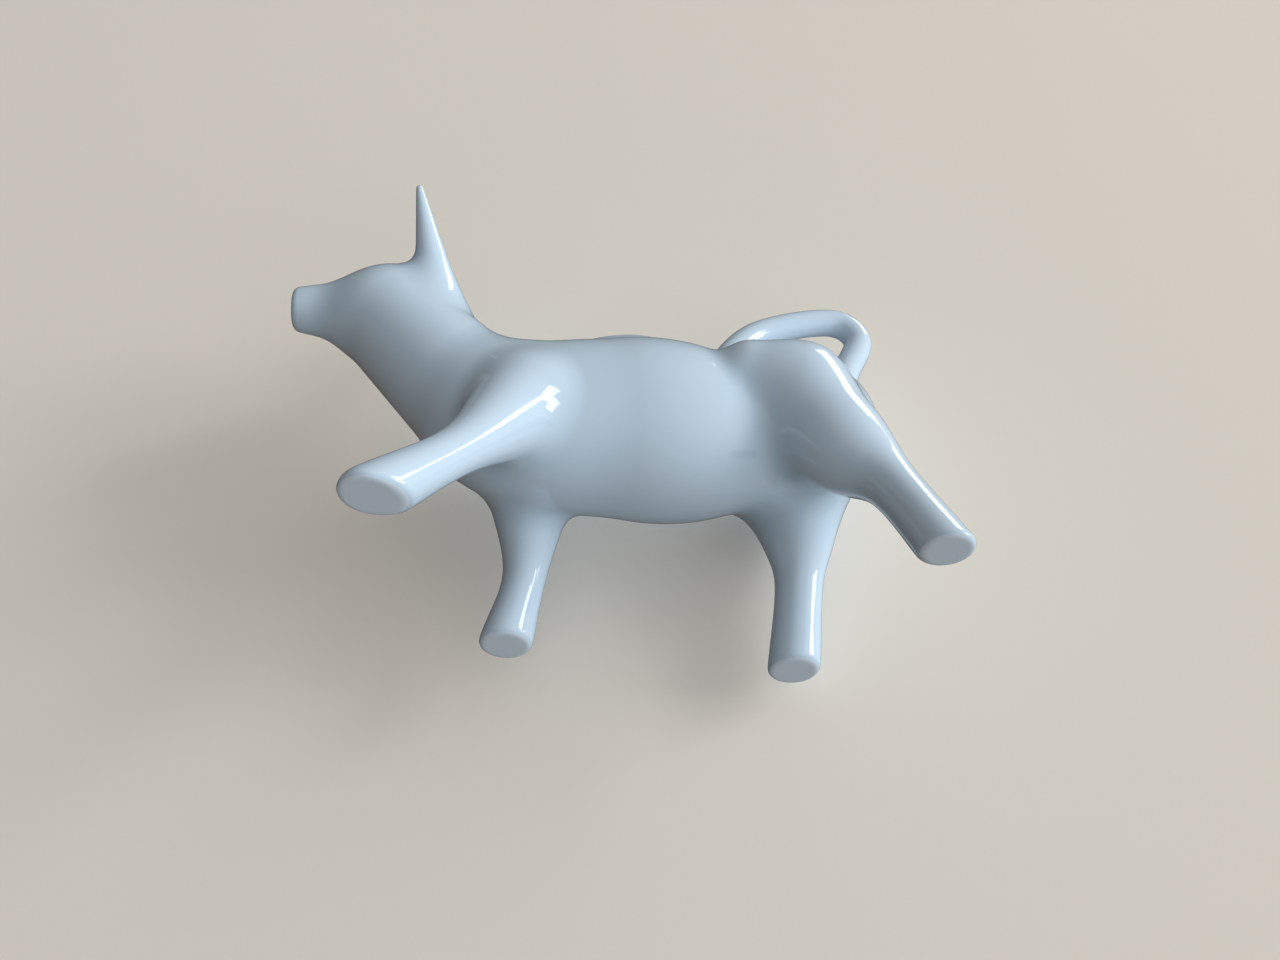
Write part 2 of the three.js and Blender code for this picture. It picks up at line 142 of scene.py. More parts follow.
def taper(points: Array, a: Array, b: Array, ra: float, rb: float) -> Array:
    """Gives the distance to a ball of radius ra at a, swept to one of radius rb at b.

    The nearest ball's share of the way is where the sweep's side, which leans by
    (ra - rb) / length, meets the point squarely.

    Args:
        points: places, one row each.
        a: the first ball's centre.
        b: the second ball's centre.
        ra: the first ball's radius.
        rb: the second ball's radius.

    Returns:
        The distances, below zero inside.
    """
    axis = b - a
    length = np.linalg.norm(axis)
    axis = axis / length
    sine = (ra - rb) / length
    lean = sine / np.sqrt(max(1 - sine ** 2, TINY))
    q = points - a
    along = q @ axis
    out = np.sqrt(np.maximum(dots(q, q) - along ** 2, 0))
    share = np.clip((along - out * lean) / length, 0, 1)
    return np.hypot(out, along - share * length) - (ra + (rb - ra) * share)


def blend(a: Array, b: Array, reach: float) -> Array:
    """Joins two fields with a fillet: the lower one, less h h reach / 4, h falling as they part.

    Args:
        a: distances to one form.
        b: distances to the other.
        reach: how far apart the two may be and still be filleted.

    Returns:
        The distances to the joined form.
    """
    h = np.maximum(reach - np.abs(a - b), 0) / reach
    return np.minimum(a, b) - h * h * reach / 4


def cut(a: Array, b: Array, reach: float) -> Array:
    """Keeps what is inside both fields, with an edge eased over reach."""
    return -blend(-a, -b, reach)


@dataclass(frozen=True)
class Limb:
    """Balls along a smooth curve, with radii eased the same way.

    Attributes:
        knots: the curve's places, one row each.
        radii: the ball's radius at each place.
        tries: balls on each stretch among which the nearest one is first looked for.
        rounds: how often the nearest ball is then brought nearer.
        margin: how far off the limb still counts.
        steepest: the greatest lean of the limb's side that is reckoned with, as a sine.
    """

    knots: Array
    radii: Array
    tries: int = 6
    rounds: int = 4
    margin: float = 9.0
    steepest: float = 0.9

    def distance(self, points: Array) -> Array:
        """Gives the distance to the limb, or FAR well away from it.

        It is the least of |p - c(t)| - r(t) along the curve: the best of some balls at even steps
        of t, from which t moves to where the side of a straight taper there faces p squarely.

        Args:
            points: places, one row each.

        Returns:
            The distances, below zero inside.
        """
        cubics = stretches(np.column_stack([self.knots, self.radii]))
        last = len(cubics)
        reach = self.radii.max() + self.margin
        low, high = self.knots.min(axis=0) - reach, self.knots.max(axis=0) + reach
        near = np.all((points > low) & (points < high), axis=1)
        close = points[near]

        def parts(t: Array) -> tuple[Array, Array]:
            """Gives the coefficients of the stretch at t and the way along it."""
            stretch = np.clip(t.astype(int), 0, last - 1)
            return np.moveaxis(cubics[stretch], 1, 0), (t - stretch)[:, None]

        def ball(t: Array) -> Array:
            """Gives the ball's centre and radius at t."""
            (a, b, c, d), u = parts(t)
            return ((a * u + b) * u + c) * u + d

        def slope(t: Array) -> Array:
            """Gives how fast the ball's centre and radius change at t."""
            (a, b, c, _), u = parts(t)
            return (3 * a * u + 2 * b) * u + c

        best = np.zeros(len(close))
        least = np.full(len(close), FAR)
        for t in np.linspace(0, last, last * self.tries + 1):
            centre = ball(np.array([t]))[0]
            gap = np.linalg.norm(close - centre[:3], axis=1) - centre[3]
            best = np.where(gap < least, t, best)
            np.minimum(least, gap, out=least)
        within = least < self.margin
        close, best, least = close[within], best[within], least[within]
        near[near] = within
        for _ in range(self.rounds):
            here, pace = ball(best), slope(best)
            off = close - here[:, :3]
            speed = np.linalg.norm(pace[:, :3], axis=1)
            along = dots(off, pace[:, :3]) / speed
            out = np.sqrt(np.maximum(dots(off, off) - along ** 2, 0))
            sine = np.clip(-pace[:, 3] / speed, -self.steepest, self.steepest)
            step = (along - out * sine / np.sqrt(1 - sine ** 2)) / speed
            best = np.clip(best + np.clip(step, -1 / self.tries, 1 / self.tries), 0, last)
            here = ball(best)
            gap = np.linalg.norm(close - here[:, :3], axis=1) - here[:, 3]
            np.minimum(least, gap, out=least)
        result = np.full(len(points), FAR)
        result[near] = least
        return result


@dataclass(frozen=True)
class Luted:
    """A limb that is luted to the skin: its piece's name, its fields and its slip lines.

    Attributes:
        name: the piece, which is also the frame's node.
        forms: its fields, each with the reach of its fillet.
        roots: a place inside the skin behind each slip line.
    """

    name: str
    forms: tuple[tuple[Field, float], ...]
    roots: tuple[Array, ...]

    def beyond_slip(self, points: Array) -> Array:
        """Gives the distance outside the slip line, which lies half a fillet's reach out."""
        return np.min([form(points) - reach / 2 for form, reach in self.forms], axis=0)

    def joined(self, body: Array, points: Array) -> Array:
        """Gives the distance to the body with the limb's fields blended into it.

        Args:
            body: the distances to the body.
            points: the places where they hold, one row each.

        Returns:
            The distances, below zero inside.
        """
        for form, reach in self.forms:
            body = blend(body, form(points), reach)
        return body


@dataclass(frozen=True)
class Barrel:
    """Chest, belly and rump: three eggs blended into a barrel, hollow, with a filling opening."""

    belly_x: float = 14.9
    belly_height: float = 47.0
    belly_size: tuple[float, float, float] = (69.0, 43.0, 44.0)
    chest_ahead: float = 27.0
    chest_drop: float = 3.0
    chest_size: tuple[float, float, float] = (41.0, 37.0, 37.0)
    rump_behind: float = 34.3
    rump_rise: float = 4.4
    rump_size: tuple[float, float, float] = (41.0, 37.0, 37.0)
    reach: float = 10.0
    wall: float = 2.2
    fill_ahead: float = 7.5
    fill_size: tuple[float, float] = (26.0, 20.0)
    lip_radius: float = 1.6
    lip_reach: float = 2.0
    rim_ease: float = 1.6

    @property
    def belly(self) -> Array:
        """The belly's centre."""
        return at(self.belly_x, 0, self.belly_height)

    @property
    def chest(self) -> Array:
        """The chest's centre."""
        return self.belly + at(-self.chest_ahead, 0, -self.chest_drop)

    @property
    def rump(self) -> Array:
        """The rump's centre."""
        return self.belly + at(self.rump_behind, 0, self.rump_rise)

    def distance(self, points: Array) -> Array:
        """Gives the distance to the barrel: the three eggs blended over its reach.

        Args:
            points: places, one row each.

        Returns:
            The distances, below zero inside.
        """
        form = egg(points, self.belly, np.array(self.belly_size))
        form = blend(form, egg(points, self.chest, np.array(self.chest_size)), self.reach)
        return blend(form, egg(points, self.rump, np.array(self.rump_size)), self.reach)

    def oval(self, points: Array, grow: float) -> Array:
        """Gives the distance, seen from above, to the filling opening's oval, or FAR below it.

        Args:
            points: places, one row each.
            grow: how far the oval is drawn outside the opening.

        Returns:
            The distances, below zero inside.
        """
        centre = np.array([self.belly_x - self.fill_ahead, 0])
        flat = egg(points[:, :2], centre, np.array(self.fill_size) + 2 * grow)
        return np.where(points[:, 2] > self.belly_height, flat, FAR)

    def lip(self, points: Array, skin: Array) -> Array:
        """Gives the distance to the bead round the opening: a circle across the rim on the skin."""
        return np.hypot(self.oval(points, self.lip_radius / 2), skin) - self.lip_radius


@dataclass(frozen=True)
class NeckAndHead:
    """Neck and head: two tapers blended, the head cut flat at the muzzle, open to the barrel."""

    barrel: Barrel = Barrel()
    root_ahead: float = 13.0
    root_rise: float = 4.5
    root_radius: float = 15.5
    top_radius: float = 13.3
    length: float = 37.0
    rise_angle: float = 47.0
    reach: float = 9.0
    seam_share: float = 0.3
    poll_behind: float = 3.8
    poll_rise: float = 2.3
    poll_radius: float = 10.1
    head_length: float = 27.4
    head_dip_angle: float = 4.5
    head_reach: float = 6.0
    muzzle_radius: float = 5.2
    muzzle_ease: float = 1.8

    @property
    def axis(self) -> Array:
        """The neck's direction, from the chest up to the poll."""
        rise = np.radians(self.rise_angle)
        return at(-np.cos(rise), 0, np.sin(rise))

    @property
    def root(self) -> Array:
        """The middle of the neck's root in the chest."""
        return self.barrel.chest + at(-self.root_ahead, 0, self.root_rise)

    @property
    def top(self) -> Array:
        """The middle of the neck's top."""
        return self.root + self.axis * self.length

    @property
    def poll(self) -> Array:
        """The middle of the back of the head."""
        return self.top + at(self.poll_behind, 0, self.poll_rise)

    @property
    def head_axis(self) -> Array:
        """The head's direction, from the poll to the muzzle."""
        dip = np.radians(self.head_dip_angle)
        return at(-np.cos(dip), 0, -np.sin(dip))

    def distance(self, points: Array) -> Array:
        """Gives the distance to neck and head, with the head's taper run on past the muzzle.

        Args:
            points: places, one row each.

        Returns:
            The distances, below zero inside.
        """
        run = 2 * self.muzzle_radius
        narrowing = (self.poll_radius - self.muzzle_radius) / self.head_length
        end = self.poll + self.head_axis * (self.head_length + run)
        neck = taper(points, self.root, self.top, self.root_radius, self.top_radius)
        end_radius = self.muzzle_radius - narrowing * run
        head = taper(points, self.poll, end, self.poll_radius, end_radius)
        return blend(neck, head, self.head_reach)

    def past_muzzle(self, points: Array) -> Array:
        """Gives the distance past the muzzle's flat end."""
        return (points - self.poll) @ self.head_axis - self.head_length

    def past_seam(self, points: Array) -> Array:
        """Gives the distance up the neck from the slip line between barrel and neck."""
        seam = self.root + (self.top - self.root) * self.seam_share
        return (points - seam) @ self.axis


@dataclass(frozen=True)
class FrontLeg:
    """A front leg with its shoulder; places along the body are measured ahead of the chest."""

    side: Side
    shoulder_ahead: float
    knee_ahead: float
    foot_ahead: float
    foot_spread: float
    barrel: Barrel = Barrel()
    shoulder_drop: float = 3.5
    shoulder_spread: float = 10.8
    shoulder_radius: float = 11.5
    knee_spread: float = 19.8
    knee_height: float = 18.6
    knee_radius: float = 5.2
    sole_radius: float = 5.9
    reach: float = 4.0

    def luted(self) -> Luted:
        """Returns the leg as a limb from the shoulder through the knee to the sole."""
        chest = self.barrel.chest
        side = self.side.value
        shoulder_height = chest[2] - self.shoulder_drop
        knots = np.array([
            at(chest[0] - self.shoulder_ahead, side * self.shoulder_spread, shoulder_height),
            at(chest[0] - self.knee_ahead, side * self.knee_spread, self.knee_height),
            at(chest[0] - self.foot_ahead, side * self.foot_spread, 0),
        ])
        radii = np.array([self.shoulder_radius, self.knee_radius, self.sole_radius])
        name = f"front_{self.side.name.lower()}_leg"
        return Luted(name, ((Limb(knots, radii).distance, self.reach),), (knots[0],))


@dataclass(frozen=True)
class HindLeg:
    """A hind leg with its haunch; places along the body are measured behind the rump."""

    side: Side
    haunch_behind: float
    stifle_behind: float
    hock_behind: float
    foot_behind: float
    foot_spread: float
    stifle_radius: float
    sole_radius: float
    barrel: Barrel = Barrel()
    hip_ahead: float = 14.0
    hip_rise: float = 2.6
    hip_spread: float = 15.4
    hip_radius: float = 7.4
    hip_reach: float = 4.0
    haunch_spread: float = 13.5
    haunch_drop: float = 0.4
    haunch_radius: float = 10.4
    stifle_spread: float = 14.5
    stifle_drop: float = 15.7
    hock_spread: float = 18.8
    hock_height: float = 21.2
    hock_radius: float = 5.8
    reach: float = 6.5

    def luted(self) -> Luted:
        """Returns the leg as a limb from the haunch through stifle and hock to the sole.

        The ham is a taper from the haunch to the hip, with a fillet of its own reach; a short one
        leaves a crease against the barrel.
        """
        rump = self.barrel.rump
        side = self.side.value
        knots = np.array([
            at(rump[0] + self.haunch_behind, side * self.haunch_spread, rump[2] - self.haunch_drop),
            at(rump[0] + self.stifle_behind, side * self.stifle_spread, rump[2] - self.stifle_drop),
            at(rump[0] + self.hock_behind, side * self.hock_spread, self.hock_height),
            at(rump[0] + self.foot_behind, side * self.foot_spread, 0),
        ])
        radii = [self.haunch_radius, self.stifle_radius, self.hock_radius, self.sole_radius]
        limb = Limb(knots, np.array(radii))
        hip = at(rump[0] - self.hip_ahead, side * self.hip_spread, rump[2] + self.hip_rise)

        def ham(points: Array) -> Array:
            """Gives the distance to the ham."""
            return taper(points, knots[0], hip, self.haunch_radius, self.hip_radius)

        forms = ((ham, self.hip_reach), (limb.distance, self.reach))
        return Luted(f"rear_{self.side.name.lower()}_leg", forms, (knots[0],))


@dataclass(frozen=True)
class Horn:
    """A horn, a straight taper from the poll; its root is measured from the poll."""

    side: Side
    neck: NeckAndHead = NeckAndHead()
    root_behind: float = 8.4
    root_rise: float = -2.7
    root_spread: float = 4.3
    root_radius: float = 6.1
    tip_radius: float = 0.9
    tip_ahead: float = 8.8
    tip_spread: float = 15.4
    tip_rise: float = 28.35
    reach: float = 5.5

    def luted(self) -> Luted:
        """Returns the horn as a limb from its root to its tip."""
        side = self.side.value
        root = self.neck.poll + at(self.root_behind, side * self.root_spread, self.root_rise)
        tip = root + at(-self.tip_ahead, side * self.tip_spread, self.tip_rise)
        limb = Limb(np.array([root, tip]), np.array([self.root_radius, self.tip_radius]))
        return Luted(f"{self.side.name.lower()}_horn", ((limb.distance, self.reach),), (root,))


@dataclass(frozen=True)
class TailLoop:
    """The tail, looped over the rump as a handle; its places are measured from the rump."""

    barrel: Barrel = Barrel()
    end_rise: float = 9.2
    root_behind: float = 11.0
    bend_behind: float = 21.35
    bend_rise: float = 36.0
    crown_behind: float = 14.0
    crown_rise: float = 42.2
    slope_ahead: float = 6.5
    slope_rise: float = 33.7
    front_ahead: float = 17.3
    front_rise: float = 18.5
    root_radius: float = 3.6
    front_radius: float = 3.6
    reach: float = 3.0

    def luted(self) -> Luted:
        """Returns the tail as a limb from its root, over the crown, to its front end."""
        rise = [self.end_rise, (self.end_rise + self.bend_rise) / 2, self.bend_rise,
                self.crown_rise, self.slope_rise, self.front_rise, self.end_rise]
        behind = [self.root_behind, (self.root_behind + self.bend_behind) / 2, self.bend_behind,
                  self.crown_behind, -self.slope_ahead, -self.front_ahead, -self.front_ahead]
        knots = np.column_stack([behind, np.zeros(len(rise)), rise]) + self.barrel.rump
        limb = Limb(knots, np.linspace(self.root_radius, self.front_radius, len(rise)))
        return Luted("tail_handle", ((limb.distance, self.reach),), (knots[0], knots[-1]))


@dataclass(frozen=True)
class Cow:
    """The whole creamer: barrel, neck and head as one hollow skin, with the luted limbs on it.

    Attributes:
        barrel: the barrel's sizes.
        neck: the neck's and head's sizes.
        limbs: the luted limbs, in the order in which they are blended in.
        sole_ease: how far the edge of a sole is eased.
    """

    barrel: Barrel
    neck: NeckAndHead
    limbs: tuple[Luted, ...]
    sole_ease: float = 1.6

    def skin(self, points: Array) -> Array:
        """Gives the distance to barrel, neck and head, with no limb on them."""
        return blend(self.barrel.distance(points), self.neck.distance(points), self.neck.reach)

    def porcelain(self, points: Array) -> Array:
        """Gives the distance to the porcelain: the skin with its limbs and lip, cut and hollowed.

        The muzzle and the soles are cut flat. The hollow is the skin drawn in by the wall, which
        runs out through the muzzle, with the filling opening's oval shaft blended into it.

        Args:
            points: places, one row each.

        Returns:
            The distances, below zero in the porcelain.
        """
        skin = self.skin(points)
        form = skin
        for part in self.limbs:
            form = part.joined(form, points)
        form = blend(form, self.barrel.lip(points, skin), self.barrel.lip_reach)
        form = cut(form, self.neck.past_muzzle(points), self.neck.muzzle_ease)
        form = cut(form, -points[:, 2], self.sole_ease)
        hollow = blend(skin + self.barrel.wall, self.barrel.oval(points, 0), self.barrel.rim_ease)
        return cut(form, -hollow, self.barrel.rim_ease)


def in_batches(form: Field, points: Array, batch: int = 100_000) -> Array:
    """Evaluates a field over many places, a batch at a time, to spare memory."""
    starts = range(0, len(points), batch)
    return np.concatenate([form(points[i:i + batch]) for i in starts])


def slope_of(form: Field, points: Array, step: float = 0.02) -> Array:
    """Gives a field's slope from four samples at the corners of a small tetrahedron.

    Args:
        form: the field.
        points: places, one row each.
        step: half the side of the cube that holds the tetrahedron.

    Returns:
        The slopes, one row each.
    """
    corners = np.array([[1, -1, -1], [-1, -1, 1], [-1, 1, -1], [1, 1, 1]])
    samples = [in_batches(form, points + step * corner) for corner in corners]
    return np.stack(samples, axis=1) @ corners / (4 * step)


def settle(form: Field, points: Array, level: float, most: float, rounds: int = 1,
           flattest: float = 0.2) -> Array:
    """Moves places along a field's slope to a level of it, by Newton's rule.

    Each step is the way off the level over the slope's square, times the slope.

    Args:
        form: the field.
        points: places, one row each.
        level: the level to reach.
        most: the longest step allowed.
        rounds: how often to step.
        flattest: the least square of a slope that is reckoned with.

    Returns:
        The moved places.
    """
    for _ in range(rounds):
        slope = slope_of(form, points)
        off = (in_batches(form, points) - level) / np.maximum(dots(slope, slope), flattest)
        points = points - shortened(off[:, None] * slope, most)
    return points


def edges_of(quads: Array) -> Array:
    """Gives the quads' edges as rows of two knots: all the first ones, then all the second."""
    return np.vstack([quads[:, [i, (i + 1) % 4]] for i in range(4)])


def twins_of(edges: Array) -> Array:
    """Gives the number of each edge's twin, which is the same edge on the quad beside it.

    Args:
        edges: the edges of a closed net, as rows of two knots.

    Returns:
        The twins, one for each edge.
    """
    order = np.lexsort((edges.max(axis=1), edges.min(axis=1)))
    twins = np.empty_like(order)
    twins[order[0::2]] = order[1::2]
    twins[order[1::2]] = order[0::2]
    return twins


@dataclass(frozen=True)
class SkinNet:
    """A net of quads over a field's zero level, with one knot in each small cell that it crosses.

    Attributes:
        form: the field.
        low: the lowest corner of the space to net.
        high: its highest corner.
        cell: a cell's side.
        block: cells along a block, the unit in which the field is left out where it is far off.
        band: blocks from the skin within which it isn't.
        relax_rounds: how often the knots are evened out along the skin.
        untwist_rounds: how often twisted faces are looked for.
    """

    form: Field
    low: Array
    high: Array
    cell: float = 0.62
    block: int = 4
    band: float = 1.5
    relax_rounds: int = 3
    untwist_rounds: int = 4

    def samples(self) -> Array:
        """Samples the field on the cells' corners, exactly near the skin and by blocks elsewhere.

        Returns:
            The field's values as a box of numbers, along x, y and z.
        """
        side = self.block
        counts = np.ceil((self.high - self.low) / (self.cell * side)).astype(int)
        blocks = np.indices(counts).reshape(3, -1).T * side
        coarse = in_batches(self.form, self.low + (blocks + (side - 1) / 2) * self.cell)
        near = np.abs(coarse) < self.band * side * self.cell
        inner = np.indices((side, side, side)).reshape(3, -1).T
        corners = self.low + (blocks[near][:, None] + inner).reshape(-1, 3) * self.cell
        values = np.repeat(coarse[:, None], side ** 3, axis=1)
        values[near] = in_batches(self.form, corners).reshape(-1, side ** 3)
        box = values.reshape(*counts, side, side, side)
        return box.transpose(0, 3, 1, 4, 2, 5).reshape(*(counts * side))

    def untwist(self, box: Array) -> None:
        """Moves a corner across the skin wherever a face's corners lie in and out by turns.

        Such a face would join four quads along one edge. The corner nearest the skin is moved.

        Args:
            box: the field's values on the cells' corners, changed in place.
        """
        for axis in list(range(3)) * self.untwist_rounds:
            right, up = np.delete(STEPS, axis, axis=0)
            around = np.array([0 * up, right, right + up, up])
            size = np.array(box.shape) - right - up
            ins = [box[tuple(slice(a, a + n) for a, n in zip(step, size))] < 0 for step in around]
            twisted = np.argwhere((ins[0] == ins[2]) & (ins[1] == ins[3]) & (ins[0] != ins[1]))
            corners = twisted[:, None] + around
            values = box[tuple(np.moveaxis(corners, -1, 0))]
            nearest = np.arange(len(twisted)), np.abs(values).argmin(axis=1)
            box[tuple(corners[nearest].T)] = -TINY * np.sign(values[nearest])

    def knots(self, box: Array, cells: Array) -> Array:
        """Places each crossed cell's knot at the mean of the points where the skin cuts its edges.

        Args:
            box: the field's values on the cells' corners.
            cells: the crossed cells, one row of three counts each.

        Returns:
            The knots, one row each.
        """
        total = np.zeros(cells.shape)
        hits = np.zeros((len(cells), 1))
        for axis in range(3):
            for corner in np.indices((2, 2)).reshape(2, -1).T:
                start = cells + corner @ np.delete(STEPS, axis, axis=0)
                first = box[tuple(start.T)]
                second = box[tuple((start + STEPS[axis]).T)]
                crossed = (first < 0) != (second < 0)
                share = first[crossed] / (first[crossed] - second[crossed])
                total[crossed] += start[crossed] + share[:, None] * STEPS[axis]
                hits[crossed] += 1
        return self.low + self.cell * total / hits

    def quads(self, box: Array, ids: Array) -> Array:
        """Lays a quad over each edge that the skin cuts, between the four cells round that edge.

        Args:
            box: the field's values on the cells' corners.
            ids: each cell's knot.

        Returns:
            The quads as rows of four knots, anticlockwise from outside.
        """
        inside = box < 0
        rows = []
        for axis in range(3):
            ahead, right, up = (STEPS[(axis + turn) % 3] for turn in range(3))
            size = np.array(box.shape) - ahead
            first = inside[:size[0], :size[1], :size[2]]
            second = inside[ahead[0]:, ahead[1]:, ahead[2]:]
            edges = np.argwhere(first != second)
            leaving = first[tuple(edges.T)]
            around = np.stack([edges - right - up, edges - up, edges, edges - right], axis=1)
            found = ids[tuple(np.moveaxis(around, -1, 0))]
            rows.append(np.where(leaving[:, None], found, found[:, ::-1]))
        return np.vstack(rows)

    def lay(self) -> tuple[Array, Array]:
        """Lays the net, evens it out and settles it on the skin.

        Returns:
            The knots and the quads.
        """
        box = self.samples()
        self.untwist(box)
        inside = (box < 0).astype(np.int8)
        ends = [slice(None, -1), slice(1, None)]
        count = sum(inside[a, b, c] for a in ends for b in ends for c in ends)
        crossed = (count > 0) & (count < 8)
        ids = np.full(crossed.shape, -1)
        ids[crossed] = np.arange(crossed.sum())
        knots = self.knots(box, np.argwhere(crossed))
        quads = self.quads(box, ids)
        start, end = edges_of(quads).T
        degree = np.bincount(start, minlength=len(knots))[:, None]
        for _ in range(self.relax_rounds):
            total = np.column_stack([
                np.bincount(start, knots[end, axis], len(knots)) for axis in range(3)])
            knots = settle(self.form, total / degree, 0, self.cell)
        return settle(self.form, knots, 0, self.cell), quads


@dataclass
class Shape:
    """A piece's closed mesh in the making: knots, their normals, quads and triangles."""

    knots: Array
    normals: Array
    quads: Array
    triangles: Array = field(default_factory=lambda: np.empty((0, 3), dtype=int))

    def add(self, knots: Array, normals: Array) -> int:
        """Adds knots with their normals.

        Args:
            knots: the knots, one row each.
            normals: their normals.

        Returns:
            The first new knot's number.
        """
        first = len(self.knots)
        self.knots = np.vstack([self.knots, knots])
        self.normals = np.vstack([self.normals, normals])
        return first


@dataclass(frozen=True)
class Parting:
    """Parts the cow's net into pieces along the slip lines, and closes each piece behind them.

    Attributes:
        cow: the cow whose net it is.
        mid_gap: least distance of a leg's or horn's slip line from the cow's middle plane.
        limb_depth: how deep under the skin a limb's seat lies.
        skin_depth: how deep under the skin the barrel or head runs on behind a limb.
        seat_shares: where the rings of a seat lie on the way from its slip line to its middle.
        seat_rounds: how often these rings are moved towards their depth.
        seat_step: the longest such move.
        line_rounds: how often the knots of a slip line are drawn on to it.
        line_step: the longest way that a knot is drawn at once.
        line_probe: how far either side of a knot the way to its slip line is felt for.
        line_flattest: the least square of a slope that is reckoned with there.
    """

    cow: Cow
    mid_gap: float = 1.5
    limb_depth: float = 0.4
    skin_depth: float = 0.9
    seat_shares: tuple[float, ...] = (0.12, 0.35, 0.6, 0.82)
    seat_rounds: int = 6
    seat_step: float = 6.0
    line_rounds: int = 3
    line_step: float = 0.6
    line_probe: float = 0.02
    line_flattest: float = 0.1

    @property
    def names(self) -> list[str]:
        """The pieces' names: the luted limbs, then barrel and head."""
        return [part.name for part in self.cow.limbs] + ["body_shell", "head_spout"]

    def beyond(self, points: Array) -> Array:
        """Gives the distance outside each limb's slip line.

        The slip line of a leg or horn also keeps off the middle plane. The hollow belongs to no
        limb.

        Args:
            points: places, one row each.

        Returns:
            The distances, below zero on the limb, one row for each limb.
        """
        rows = []
        for part in self.cow.limbs:
            row = part.beyond_slip(points)
            if part.name.endswith(("_leg", "_horn")):
                side = np.sign(part.roots[0][1])
                row = np.maximum(row, self.mid_gap - side * points[:, 1])
            rows.append(row)
        hollow = self.cow.skin(points) < -self.cow.barrel.wall / 2
        return np.where(hollow, FAR, np.stack(rows))

    def labels(self, points: Array) -> Array:
        """Gives each place's piece: the limb whose slip line it is furthest inside, or the skin.

        Args:
            points: places, one row each.

        Returns:
            The pieces, as numbers in names.
        """
        beyond = self.beyond(points)
        skin = len(self.cow.limbs) + (self.cow.neck.past_seam(points) > 0)
        return np.where(beyond.min(axis=0) < 0, beyond.argmin(axis=0), skin)

    def draw_lines(self, knots: Array, quads: Array, labels: Array) -> Array:
        """Draws the knots between two pieces along the skin on to their slip line.

        Args:
            knots: the net's knots.
            quads: the net's quads.
            labels: each quad's piece.

        Returns:
            The knots, moved on the slip lines.
        """
        least = np.full(len(knots), len(self.names))
        most = np.full(len(knots), -1)
        np.minimum.at(least, quads.ravel(), np.repeat(labels, 4))
        np.maximum.at(most, quads.ravel(), np.repeat(labels, 4))
        shared = np.flatnonzero(least != most)
        owner = least[shared]
        limbs = len(self.cow.limbs)

        def off_line(points: Array) -> Array:
            """Gives the distance from the slip line that each shared knot belongs to."""
            rows = np.vstack([self.beyond(points), self.cow.neck.past_seam(points)[None]])
            return rows[np.minimum(owner, limbs), np.arange(len(points))]

        place = knots[shared]
        probes = self.line_probe * STEPS
        for _ in range(self.line_rounds):
            normal = unit(slope_of(self.cow.porcelain, place))
            rises = [off_line(place + probe) - off_line(place - probe) for probe in probes]
            slope = np.column_stack(rises) / (2 * self.line_probe)
            slope -= dots(slope, normal)[:, None] * normal
            steep = np.maximum(dots(slope, slope), self.line_flattest)
            step = (off_line(place) / steep)[:, None] * slope
            place = place - shortened(step, self.line_step)
            place = settle(self.cow.porcelain, place, 0, self.line_step)
        moved = knots.copy()
        moved[shared] = place
        return moved

    def seat(self, shape: Shape, edges: Array, depth: float) -> None:
        """Closes a hole in a shape with a seat: rings from its edge to its middle, under the skin.

        Each ring is the edge drawn in towards the middle by a share of the way, and then moved to
        the given depth under the skin.

        Args:
            shape: the shape to close.
            edges: the hole's edges, as rows of two knots.
            depth: how deep under the skin the seat lies.
        """
        rim, ends = np.unique(edges, return_inverse=True)
        a, b = ends.reshape(-1, 2).T
        middle = shape.knots[rim].mean(axis=0)
        shares = np.array([*self.seat_shares, 1.0])[:, None, None]
        drawn = shape.knots[rim] + (middle - shape.knots[rim]) * shares
        rings = drawn.reshape(-1, 3)[:len(rim) * len(self.seat_shares) + 1]
        rings = settle(self.cow.skin, rings, -depth, self.seat_step, self.seat_rounds)
        first = shape.add(rings, -unit(slope_of(self.cow.skin, rings)))
        starts = first + len(rim) * np.arange(len(self.seat_shares))
        outer = [rim, *(start + np.arange(len(rim)) for start in starts)]
        quads = [np.column_stack([o[b], o[a], i[a], i[b]]) for o, i in zip(outer[:-1], outer[1:])]
        shape.quads = np.vstack([shape.quads, *quads])
        top = np.full(len(a), first + len(rings) - 1)
        last = outer[-1]
        shape.triangles = np.vstack([shape.triangles, np.column_stack([last[b], last[a], top])])

    def close_neck(self, shape: Shape, rim: Array, facing: Array) -> None:
        """Closes the wall across the neck, between the rings of its outer and inner skin.

        Both rings are sorted by their angle round the neck. Each knot in turn makes a triangle
        with the one before it on its own ring and the last one passed on the other ring.

        Args:
            shape: the shape to close.
            rim: the knots of both rings.
            facing: the direction that the wall faces.
        """
        across = np.cross(facing, at(0, 1, 0))
        centred = shape.knots[rim] - shape.knots[rim].mean(axis=0)
        turn = np.arctan2(centred @ across, centred[:, 1])
        inner = self.cow.skin(shape.knots[rim]) < -self.cow.barrel.wall / 2
        order = np.argsort(turn)
        ring, inner = rim[order], inner[order]
        spots = np.arange(len(ring))
        triangles = []
        for own in (inner, ~inner):
            mine, others = spots[own], spots[~own]
            passed = others[np.searchsorted(others, mine) - 1]
            triangles.append(np.column_stack([np.roll(mine, 1), mine, passed]))
        wall = np.vstack(triangles)
        place = shape.knots[ring]
        sides = place[wall[:, 1:]] - place[wall[:, :1]]
        flip = np.cross(sides[:, 0], sides[:, 1]) @ facing < 0
        wall[flip] = wall[flip][:, ::-1]
        shape.triangles = np.vstack([shape.triangles, ring[wall]])

